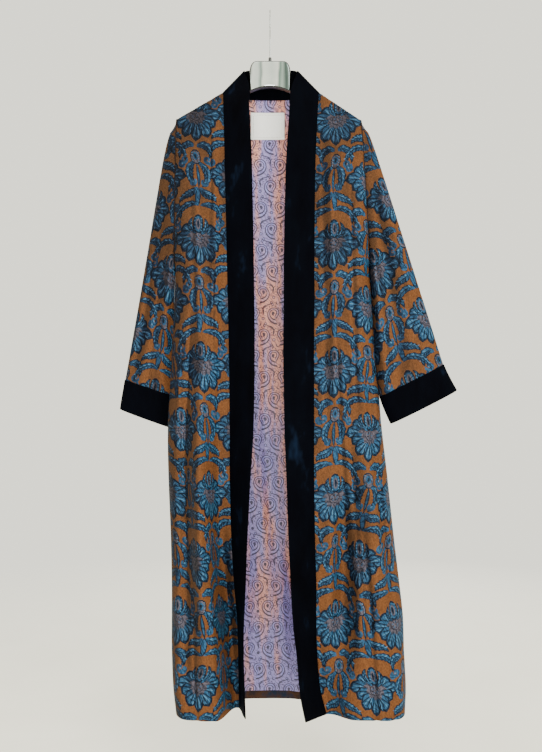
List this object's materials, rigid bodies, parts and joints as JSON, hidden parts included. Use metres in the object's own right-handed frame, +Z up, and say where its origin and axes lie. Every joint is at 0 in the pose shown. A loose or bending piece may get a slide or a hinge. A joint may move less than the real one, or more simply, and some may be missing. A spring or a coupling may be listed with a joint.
{
  "type": "kimono robe on a clothes hanger",
  "caption": "Long open kimono robe in floral damask with a velvet neckband and cuffs and a contrasting lining, hung on a clothes hanger with a metal plate and hook.",
  "frame": {"origin": "top of the inside of the hanger's hook, where it rests on its rail", "axes": "+Z up, +X to the right of someone facing the robe's open front, +Y from them towards the robe's back"},
  "size_m": [0.7041, 0.1869, 1.4581],
  "materials": {
    "damask": "woven silk damask, brown ground with blue flowers and leaves",
    "velvet": "short velvet pile, nearly black",
    "lining": "shot satin with a paisley figure",
    "label": "woven cream label, blank",
    "chrome": "polished",
    "hanger_arms": "satin black"
  },
  "bodies": {
    "root": {"back": "damask", "front_left": "damask", "front_right": "damask", "sleeve_left": "damask", "sleeve_right": "damask", "cuff_left": "velvet", "cuff_right": "velvet", "neckband_left": "velvet", "neckband_right": "velvet", "lining_back": "lining", "label": "label", "hanger_plate": "chrome", "hanger_arm_left": "hanger_arms", "hanger_arm_right": "hanger_arms", "hanger_ferrule": "chrome", "hanger_hook": "chrome"}
  },
  "joints": []
}
